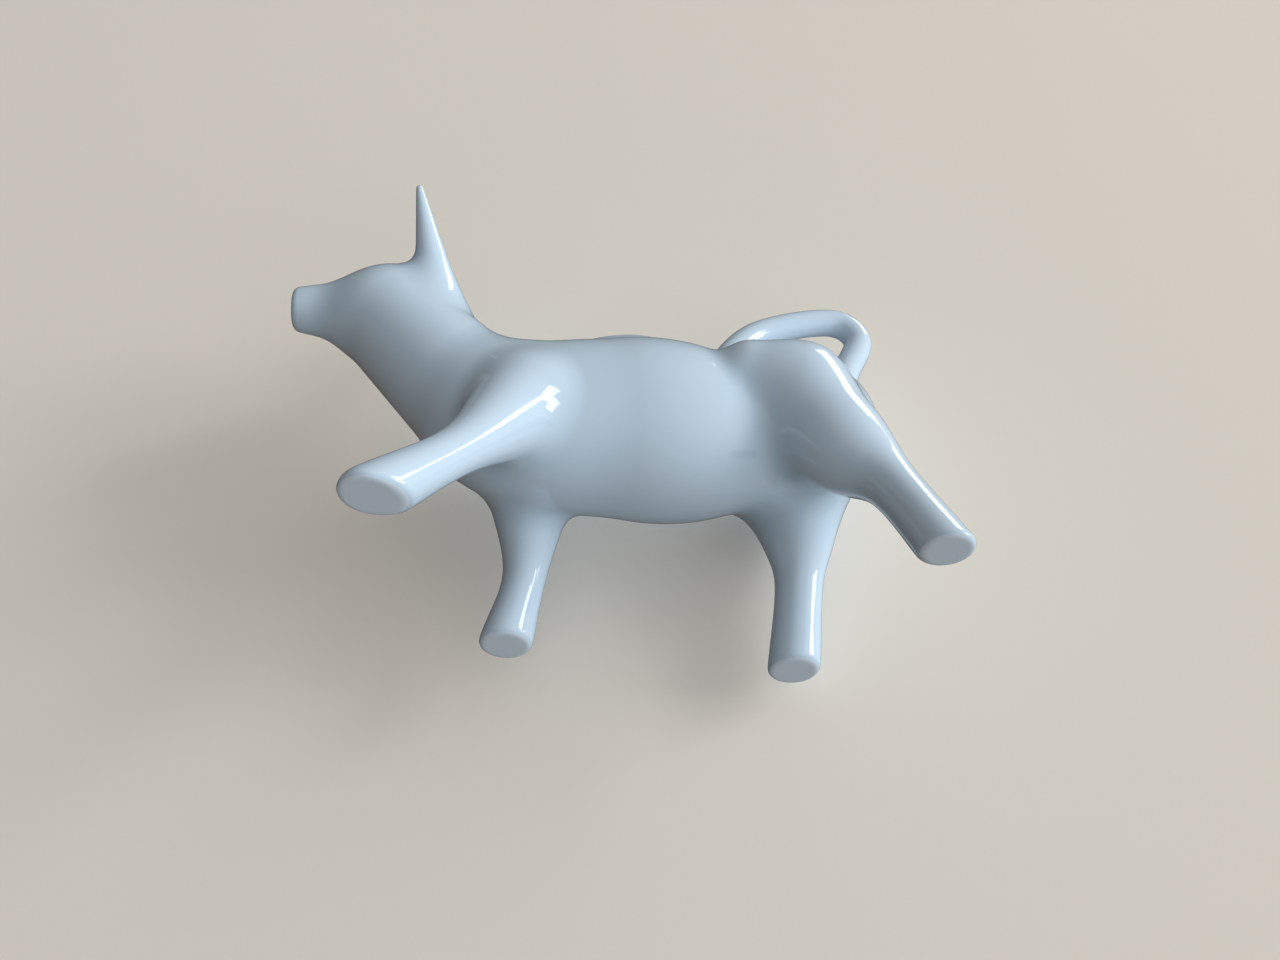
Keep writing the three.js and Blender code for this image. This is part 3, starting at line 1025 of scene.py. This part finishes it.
    def part(self, knots: Array, quads: Array) -> dict[str, Shape]:
        """Parts the net, closing the limbs with seats, and barrel and head behind the limbs.

        Args:
            knots: the net's knots.
            quads: the net's quads.

        Returns:
            Each piece's closed shape, by name.
        """
        labels = self.labels(knots[quads].mean(axis=1))
        knots = self.draw_lines(knots, quads, labels)
        normals = unit(slope_of(self.cow.porcelain, knots))
        edges = edges_of(quads)
        starts = knots[edges[:, 0]]
        owner = np.tile(labels, 4)
        across = owner[twins_of(edges)]
        limbs = len(self.cow.limbs)
        shapes = {}
        for label, name in enumerate(self.names):
            on_skin = label >= limbs
            depth = self.skin_depth if on_skin else self.limb_depth
            used, local = np.unique(quads[labels == label], return_inverse=True)
            shape = Shape(knots[used], normals[used], local.reshape(-1, 4))
            rim = (owner == label) & (across != label)
            number = np.full(len(knots), -1)
            number[used] = np.arange(len(used))
            for index, part in enumerate(self.cow.limbs):
                beside = rim & (across == index if on_skin else label == index)
                reach = np.stack([np.linalg.norm(starts - root, axis=1) for root in part.roots])
                for root in range(len(part.roots)):
                    hole = beside & (reach.argmin(axis=0) == root)
                    if hole.any():
                        self.seat(shape, number[edges[hole]], depth)
            if on_skin:
                wall = rim & (across >= limbs)
                facing = self.cow.neck.axis * (1 if name == "body_shell" else -1)
                self.close_neck(shape, np.unique(number[edges[wall]]), facing)
            shapes[name] = shape
        return shapes


def linear(code: str) -> tuple[float, float, float, float]:
    """Turns an sRGB hex colour into a linear one, by the sRGB curve with its straight foot.

    Args:
        code: the colour, such as "#ffffff".

    Returns:
        Its linear red, green and blue, and a full alpha.
    """
    parts = np.array([int(code[i:i + 2], 16) for i in (1, 3, 5)]) / 255
    dark = parts / 12.92
    light = ((parts + 0.055) / 1.055) ** 2.4
    return (*np.where(parts <= 0.04045, dark, light).tolist(), 1.0)


def add_node(tree: bpy.types.NodeTree, kind: str, settings: dict | None = None,
             inputs: dict | None = None) -> bpy.types.Node:
    """Adds a node with its settings, values and links.

    Args:
        tree: the node tree.
        kind: the node's type.
        settings: the node's own properties by name.
        inputs: its inputs by name or number, each a value or a socket to link from.

    Returns:
        The node.
    """
    node = tree.nodes.new(kind)
    for name, value in (settings or {}).items():
        setattr(node, name, value)
    for name, value in (inputs or {}).items():
        socket = node.inputs[name]
        if isinstance(value, bpy.types.NodeSocket):
            tree.links.new(value, socket)
        else:
            socket.default_value = value
    return node


def add_object(name: str, data: bpy.types.ID) -> bpy.types.Object:
    """Makes an object of a mesh, a lamp or a camera, and links it to the scene.

    Args:
        name: the object's name.
        data: what it shows.

    Returns:
        The object.
    """
    made = bpy.data.objects.new(name, data)
    bpy.context.collection.objects.link(made)
    return made


def new_material(name: str) -> tuple[bpy.types.Material, bpy.types.NodeTree]:
    """Makes a material with an empty node tree.

    Args:
        name: the material's name.

    Returns:
        The material and its tree.
    """
    material = bpy.data.materials.new(name)
    material.use_nodes = True
    material.node_tree.nodes.clear()
    return material, material.node_tree


@dataclass(frozen=True)
class PorcelainGlaze:
    """Hard porcelain, slip cast, dipped in a clear feldspar glaze and fired standing on its soles.

    The glaze gives a cool white with sharp window lights that waver a little, since it runs in the
    kiln. Where a limb meets the barrel a darker blue-grey is painted in: painted shade in the
    crease, which also stands for the glaze lying thicker there. The soles are wiped before firing,
    so they are dry, matt and a little paler.

    Attributes:
        glaze: colour of the glazed skin.
        pooled_and_shaded: colour painted in the creases, as painted shade and as glaze run together
            there.
        biscuit: colour of the wiped soles.
        gloss: roughness of the glaze.
        dry: roughness of the biscuit.
        ior: refractive index of the glaze.
        wave: distance between the crests that the glaze runs into, in millimetres.
        wave_height: height of these crests, in millimetres.
        wave_detail: how many rounds of finer crests lie among them.
        wave_fade: how high each round is beside the one before it.
        grit: grain of the biscuit, in millimetres, coarser than the real one so that it shows.
        grit_height: height of this grain, in millimetres.
        grit_detail: how many rounds of finer grain lie among it.
        bare_height: how far up from the floor a sole is wiped, in millimetres; over as much again
            the glaze sets in.
        pin: colour of a pinhole, where the glaze has burst a bubble and shows a grey speck.
        pin_apart: distance between the places where a pinhole may be, in millimetres.
        pin_radius: radius of a pinhole, in millimetres.
        pin_edge: share of this radius at which it starts to fade.
        pin_share: share of these places that have one.
    """

    glaze: str = "#cbdeec"
    pooled_and_shaded: str = "#afc8d8"
    biscuit: str = "#d6e3ed"
    gloss: float = 0.07
    dry: float = 0.62
    ior: float = 1.52
    wave: float = 11.0
    wave_height: float = 0.05
    wave_detail: float = 1.0
    wave_fade: float = 0.4
    grit: float = 0.5
    grit_height: float = 0.02
    grit_detail: float = 2.0
    bare_height: float = 0.3
    pin: str = "#8c97a0"
    pin_apart: float = 8.0
    pin_radius: float = 0.3
    pin_edge: float = 0.5
    pin_share: float = 0.12

    def pinholes(self, tree: bpy.types.NodeTree,
                 place: bpy.types.NodeSocket) -> bpy.types.NodeSocket:
        """Gives where the glaze is pricked, from 0 to 1: near the middles of a few Voronoi cells.

        Args:
            tree: the material's nodes.
            place: the socket that gives the place, in metres.

        Returns:
            The socket that gives the pinholes.
        """
        kind = {"voronoi_dimensions": "3D", "feature": "F1"}
        cells = add_node(tree, "ShaderNodeTexVoronoi", kind, {
            "Vector": place, "Scale": 1 / (self.pin_apart * MM)})
        radius = self.pin_radius / self.pin_apart
        near = add_node(tree, "ShaderNodeMapRange", {"interpolation_type": "SMOOTHSTEP"}, {
            "Value": cells.outputs["Distance"], "From Min": self.pin_edge * radius,
            "From Max": radius, "To Min": 1.0, "To Max": 0.0}).outputs["Result"]
        lot = add_node(tree, "ShaderNodeSeparateColor", None, {
            0: cells.outputs["Color"]}).outputs[0]
        drawn = add_node(tree, "ShaderNodeMath", {"operation": "LESS_THAN"}, {
            0: lot, 1: self.pin_share}).outputs[0]
        return add_node(tree, "ShaderNodeMath", {"operation": "MULTIPLY"}, {
            0: near, 1: drawn}).outputs[0]

    def build(self) -> bpy.types.Material:
        """Makes the material.

        Its colour is the glaze, mixed with its pooled colour in the creases, which is painted shade
        as well as thicker glaze, with pinholes, and with the biscuit on the soles. The run of the
        glaze and the biscuit's grain are bumps.

        Returns:
            The material.
        """
        material, tree = new_material("glazed_porcelain_finish")
        place = add_node(tree, "ShaderNodeTexCoord").outputs["Object"]
        run = add_node(tree, "ShaderNodeTexNoise", {"noise_dimensions": "3D"}, {
            "Vector": place, "Scale": 1 / (self.wave * MM), "Detail": self.wave_detail,
            "Roughness": self.wave_fade})
        grain = add_node(tree, "ShaderNodeTexNoise", {"noise_dimensions": "3D"}, {
            "Vector": place, "Scale": 1 / (self.grit * MM), "Detail": self.grit_detail})
        height = add_node(tree, "ShaderNodeSeparateXYZ", inputs={0: place}).outputs["Z"]
        bare = add_node(tree, "ShaderNodeMapRange", {"interpolation_type": "SMOOTHSTEP"}, {
            "Value": height, "From Min": self.bare_height * MM,
            "From Max": 2 * self.bare_height * MM, "To Min": 1.0, "To Max": 0.0}).outputs["Result"]
        # Painted shade: the glaze is darkened towards a blue-grey in the creases, by the attribute
        # made from the nearness of other porcelain.
        pools_and_shade = add_node(tree, "ShaderNodeAttribute", {"attribute_name": "pooling_and_shade"}).outputs["Fac"]
        pins = self.pinholes(tree, place)
        colour = linear(self.glaze)
        for share, code in ((pools_and_shade, self.pooled_and_shaded), (pins, self.pin), (bare, self.biscuit)):
            colour = add_node(tree, "ShaderNodeMix", {"data_type": "RGBA"}, {
                0: share, MIX_A: colour, MIX_B: linear(code)}).outputs[MIX_RESULT]
        rough = add_node(tree, "ShaderNodeMapRange", None, {
            "Value": bare, "To Min": self.gloss, "To Max": self.dry}).outputs["Result"]
        flow = add_node(tree, "ShaderNodeBump", None, {
            "Height": run.outputs["Fac"], "Distance": self.wave_height * MM, "Strength": 1.0})
        grains = add_node(tree, "ShaderNodeBump", None, {
            "Height": grain.outputs["Fac"], "Distance": self.grit_height * MM, "Strength": bare,
            "Normal": flow.outputs["Normal"]})
        shader = add_node(tree, "ShaderNodeBsdfPrincipled", None, {
            "Base Color": colour, "Roughness": rough, "IOR": self.ior,
            "Normal": grains.outputs["Normal"]})
        add_node(tree, "ShaderNodeOutputMaterial", None, {"Surface": shader.outputs["BSDF"]})
        return material


@dataclass(frozen=True)
class Potter:
    """Nets the cow's skin, parts it and makes each piece a glazed object.

    Attributes:
        cow: the cow.
        low: lowest corner of the space to net, in millimetres.
        high: highest corner.
        feel: how far off the skin the nearness of other porcelain is felt for the painted crease
            shade,
        in millimetres.
        gain: how strongly that nearness counts.
    """

    cow: Cow
    low: tuple[float, float, float] = (-76.0, -34.0, -1.5)
    high: tuple[float, float, float] = (76.0, 34.0, 108.0)
    feel: float = 3.0
    gain: float = 2.0

    def pooling_and_shade(self, shape: Shape) -> Array:
        """Gives how much crease shade is painted at each knot, standing also for glaze run together
        there.

        It is how much nearer than feel the porcelain is to a place that far off the skin, which is
        nothing on a flat or rounded skin and grows in a crease.

        Args:
            shape: the closed shape.

        Returns:
            A number from 0 to 1 for each knot.
        """
        off = in_batches(self.cow.porcelain, shape.knots + self.feel * shape.normals)
        return np.clip((self.feel - off) / self.feel * self.gain, 0, 1)

    def mesh(self, name: str, shape: Shape) -> bpy.types.Object:
        """Makes a shape an object, in metres, with its normals and its painted crease shade.

        Args:
            name: the piece's name.
            shape: the closed shape, in millimetres.

        Returns:
            The object, linked to the scene.
        """
        mesh = bpy.data.meshes.new(name)
        mesh.from_pydata(shape.knots * MM, [], [*shape.quads.tolist(), *shape.triangles.tolist()])
        mesh.polygons.foreach_set("use_smooth", np.ones(len(mesh.polygons), dtype=bool))
        # Painted shade in the creases, kept on each knot for the glaze to darken by.
        pooling_and_shade = mesh.attributes.new("pooling_and_shade", "FLOAT", "POINT")
        pooling_and_shade.data.foreach_set("value", self.pooling_and_shade(shape).astype(np.float32))
        mesh.normals_split_custom_set_from_vertices(shape.normals)
        mesh.update()
        return add_object(name, mesh)

    def build(self) -> dict[str, bpy.types.Object]:
        """Builds the pieces.

        Returns:
            The pieces, by the node that each stands for.
        """
        net = SkinNet(self.cow.porcelain, np.array(self.low), np.array(self.high))
        knots, quads = net.lay()
        LOG.info("net of %d quads", len(quads))
        shapes = Parting(self.cow).part(knots, quads)
        return {node: self.mesh(f"glazed_{node}", shape) for node, shape in shapes.items()}

    def dress(self, pieces: dict[str, bpy.types.Object], glaze: bpy.types.Material) -> None:
        """Glazes the pieces and hangs each on the frame in place of its node.

        Args:
            pieces: the pieces, by node.
            glaze: the material.
        """
        for node, piece in pieces.items():
            piece.data.materials.append(glaze)
            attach(piece, BODY)
            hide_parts(node)
            LOG.info("%s: %d faces for %s", piece.name, len(piece.data.polygons), node)


@dataclass(frozen=True)
class Viewpoint:
    """The camera of the photograph, which looks up at the belly of the cow as it lies on a table.

    Attributes:
        place: where the camera is, in millimetres.
        yaw_angle: how far it is turned from +Y towards +X.
        rise_angle: how far it looks up.
        roll_angle: how far it is turned about its own axis.
        focal_pixels: focal length, in pixels of an image of IMAGE_WIDTH.
        sensor: sensor width, in millimetres.
        nearest: how near to the camera it still sees, in millimetres.
    """

    place: tuple[float, float, float] = (-11.5, -165.1, -110.0)
    yaw_angle: float = 8.05
    rise_angle: float = 40.31
    roll_angle: float = -0.17
    focal_pixels: float = 973.4
    sensor: float = 36.0
    nearest: float = 1.0

    @property
    def axes(self) -> tuple[Array, Array, Array]:
        """The image's right and up and the direction towards the camera."""
        yaw, rise, roll = np.radians([self.yaw_angle, self.rise_angle, self.roll_angle])
        ahead = at(np.cos(rise) * np.sin(yaw), np.cos(rise) * np.cos(yaw), np.sin(rise))
        right = at(np.cos(yaw), -np.sin(yaw), 0)
        down = np.cross(ahead, right)
        turned = np.cos(roll) * right + np.sin(roll) * down
        return turned, np.cross(-ahead, turned), -ahead

    def along(self, right: float, up: float, back: float) -> Array:
        """Returns a direction from its parts along the image's axes."""
        return unit((np.stack(self.axes).T @ at(right, up, back))[None])[0]

    def build(self) -> None:
        """Makes the camera, the scene's own."""
        data = bpy.data.cameras.new("viewpoint")
        data.sensor_width = self.sensor
        data.lens = self.focal_pixels * self.sensor / IMAGE_WIDTH
        data.clip_start = self.nearest * MM
        camera = add_object("viewpoint", data)
        turn = Matrix(np.stack(self.axes).T.tolist()).to_4x4()
        camera.matrix_world = Matrix.Translation(Vector(at(*self.place) * MM)) @ turn
        bpy.context.scene.camera = camera


@dataclass(frozen=True)
class Window:
    """A soft rectangular lamp that faces the cow's middle.

    Attributes:
        name: the lamp's name.
        towards: direction from the cow's middle to the lamp.
        distance: how far off it is, in metres.
        size: its width and height, in metres.
        power: its power, in watts.
        colour: its colour.
        mirrored: whether the glaze mirrors it.
    """

    name: str
    towards: Array
    distance: float
    size: tuple[float, float]
    power: float
    colour: str = "#ffffff"
    mirrored: bool = True

    def build(self, middle: Array) -> None:
        """Makes the lamp.

        Args:
            middle: the cow's middle, in metres.
        """
        data = bpy.data.lights.new(self.name, "AREA")
        data.shape = "RECTANGLE"
        data.size, data.size_y = self.size
        data.energy = self.power
        data.color = linear(self.colour)[:3]
        lamp = add_object(self.name, data)
        lamp.location = middle + self.towards * self.distance
        lamp.rotation_euler = Vector(self.towards).to_track_quat("Z", "Y").to_euler()
        lamp.visible_glossy = self.mirrored
        lamp.visible_camera = False


@dataclass(frozen=True)
class Studio:
    """A plain pale table that the cow lies on, a floor that it can stand on, and soft light.

    Attributes:
        into_table: the table's direction away from the cow.
        table_colour: the table's colour.
        floor_colour: the floor's colour.
        backdrop_colour: colour past the floor's edge, where the camera sees it.
        sky_from: the windows' side, along the image's axes.
        sky_colour: colour of the light on the windows' side.
        shade_colour: its colour on the other side, as from a wooden room.
        sky_level: its level, from the side.
        sky_slope: how much brighter it is on the windows' side, and darker on the other.
        sky_least: its lowest level.
        gap: how far the table is kept off the porcelain, in millimetres.
        reach: half the side of table and floor, in metres.
    """

    into_table: tuple[float, float, float] = (0.137, 0.974, 0.179)
    table_colour: str = "#f3eadd"
    floor_colour: str = "#f2eee8"
    backdrop_colour: str = "#d8d5d0"
    sky_from: tuple[float, float, float] = (0.85, 0.12, 0.5)
    sky_colour: str = "#e9f3fc"
    shade_colour: str = "#f6e3cf"
    sky_level: float = 0.27
    sky_slope: float = 0.88
    sky_least: float = 0.10
    gap: float = 0.1
    reach: float = 1.2

    def paper(self, name: str, code: str) -> bpy.types.Material:
        """Makes the matt paper of a table or floor that shows from its front alone.

        It is see-through from behind, so that it never stands in a camera's way, and lets all
        light through, so that neither sheet shades the other.

        Args:
            name: the material's name.
            code: its colour.

        Returns:
            The material.
        """
        material, tree = new_material(name)
        behind = add_node(tree, "ShaderNodeNewGeometry").outputs["Backfacing"]
        seen = add_node(tree, "ShaderNodeLightPath").outputs["Is Camera Ray"]
        passing = add_node(tree, "ShaderNodeMath", {"operation": "SUBTRACT"}, {0: 1.0, 1: seen})
        clear = add_node(tree, "ShaderNodeMath", {"operation": "MAXIMUM"}, {
            0: behind, 1: passing.outputs[0]})
        matt = add_node(tree, "ShaderNodeBsdfDiffuse", None, {"Color": linear(code)})
        glass = add_node(tree, "ShaderNodeBsdfTransparent")
        mix = add_node(tree, "ShaderNodeMixShader", None, {
            0: clear.outputs[0], 1: matt.outputs[0], 2: glass.outputs[0]})
        add_node(tree, "ShaderNodeOutputMaterial", None, {"Surface": mix.outputs[0]})
        return material

    def sheet(self, name: str, middle: Array, facing: Array, finish: bpy.types.Material) -> None:
        """Lays out a square of paper.

        Args:
            name: the object's name.
            middle: its middle, in metres.
            facing: the direction that it faces.
            finish: its material.
        """
        across = unit(np.cross(facing, at(1, 0, 0))[None])[0]
        along = np.cross(across, facing)
        corners = np.array([[-1, -1], [1, -1], [1, 1], [-1, 1]]) * self.reach
        mesh = bpy.data.meshes.new(name)
        mesh.from_pydata(middle + corners @ np.stack([along, across]), [], [[0, 1, 2, 3]])
        mesh.materials.append(finish)
        plane = add_object(name, mesh)

    def sky(self, view: Viewpoint) -> None:
        """Sets up the light from all round, which is stronger on the windows' side.

        Its level is the side's level, plus the slope times the part of the direction towards the
        windows' side, but never below the least. The camera sees the plain backdrop instead.

        Args:
            view: the camera, along whose axes the windows' side is given.
        """
        world = bpy.data.worlds.new("soft_sky")
        world.use_nodes = True
        bpy.context.scene.world = world
        tree = world.node_tree
        tree.nodes.clear()
        way = add_node(tree, "ShaderNodeTexCoord").outputs["Generated"]
        towards = add_node(tree, "ShaderNodeVectorMath", {"operation": "DOT_PRODUCT"}, {
            0: way, 1: tuple(view.along(*self.sky_from))}).outputs["Value"]
        slope = add_node(tree, "ShaderNodeMath", {"operation": "MULTIPLY_ADD"}, {
            0: towards, 1: self.sky_slope, 2: self.sky_level}).outputs[0]
        level = add_node(tree, "ShaderNodeMath", {"operation": "MAXIMUM"}, {
            0: slope, 1: self.sky_least}).outputs[0]
        tint = add_node(tree, "ShaderNodeMix", {"data_type": "RGBA"}, {
            0: level, MIX_A: linear(self.shade_colour),
            MIX_B: linear(self.sky_colour)}).outputs[MIX_RESULT]
        light = add_node(tree, "ShaderNodeBackground", None, {"Color": tint, "Strength": level})
        backdrop = add_node(tree, "ShaderNodeBackground", None, {
            "Color": linear(self.backdrop_colour)})
        seen = add_node(tree, "ShaderNodeLightPath").outputs["Is Camera Ray"]
        mix = add_node(tree, "ShaderNodeMixShader", None, {
            0: seen, 1: light.outputs[0], 2: backdrop.outputs[0]})
        add_node(tree, "ShaderNodeOutputWorld", None, {"Surface": mix.outputs[0]})

    def build(self, pieces: list[bpy.types.Object], view: Viewpoint) -> None:
        """Sets up the stage and its light round the pieces.

        The table lies at the pieces' furthest reach along its own direction.

        Args:
            pieces: the cow's pieces.
            view: the camera, along whose axes the windows are placed.
        """
        into = unit(at(*self.into_table)[None])[0]
        places = []
        for piece in pieces:
            flat = np.empty(3 * len(piece.data.vertices))
            piece.data.vertices.foreach_get("co", flat)
            places.append(flat.reshape(-1, 3))
        places = np.vstack(places)
        middle = (places.min(axis=0) + places.max(axis=0)) / 2
        depth = (places @ into).max() + self.gap * MM
        table = middle + into * (depth - middle @ into)
        self.sheet("table", table, -into, self.paper("table_paper", self.table_colour))
        floor = at(middle[0], middle[1], 0)
        self.sheet("floor", floor, at(0, 0, 1), self.paper("floor_paper", self.floor_colour))
        for window in (
            Window("upper_pane", towards=view.along(0.80, 0.50, 0.20), distance=2.7,
                   size=(0.96, 0.66), power=16.0),
            Window("lower_pane", towards=view.along(0.93, 0.24, 0.26), distance=2.7,
                   size=(0.96, 0.66), power=16.0),
            Window("top_pane", towards=view.along(0.57, 0.72, -0.40), distance=2.7,
                   size=(0.90, 0.72), power=9.0),
            Window("far_fill", towards=view.along(0.0, 0.0, -1.0), distance=3.0,
                   size=(2.2, 2.2), power=70.0, colour="#f4f6ff", mirrored=False),
        ):
            window.build(middle)
        self.sky(view)
        bpy.context.scene.view_settings.view_transform = "Standard"


def main() -> None:
    """Loads the frame, builds the cow on it, and sets up the stage, the light and the camera."""
    logging.basicConfig(level=logging.INFO, format="%(name)s: %(message)s")
    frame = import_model()
    barrel = Barrel()
    neck = NeckAndHead(barrel)
    limbs = (
        FrontLeg(Side.LEFT, shoulder_ahead=3.0, knee_ahead=14.0, foot_ahead=28.6,
                 foot_spread=25.2, barrel=barrel).luted(),
        FrontLeg(Side.RIGHT, shoulder_ahead=0.4, knee_ahead=-0.4, foot_ahead=2.5,
                 foot_spread=23.4, barrel=barrel).luted(),
        HindLeg(Side.LEFT, haunch_behind=-2.7, stifle_behind=4.4, hock_behind=12.5,
                foot_behind=18.9, foot_spread=24.4, stifle_radius=10.8, sole_radius=5.4,
                barrel=barrel).luted(),
        HindLeg(Side.RIGHT, haunch_behind=3.5, stifle_behind=3.2, hock_behind=3.4,
                foot_behind=1.7, foot_spread=25.1, stifle_radius=9.8, sole_radius=6.0,
                barrel=barrel, hip_rise=-2.0, hip_reach=9.0, reach=9.0).luted(),
        Horn(Side.LEFT, neck).luted(),
        Horn(Side.RIGHT, neck).luted(),
        TailLoop(barrel).luted(),
    )
    potter = Potter(Cow(barrel, neck, limbs))
    pieces = potter.build()
    potter.dress(pieces, PorcelainGlaze().build())
    LOG.info("%d of %d nodes dressed", len(pieces), len(frame["nodes"]))
    view = Viewpoint()
    view.build()
    Studio().build(list(pieces.values()), view)


if __name__ == "__main__":
    main()
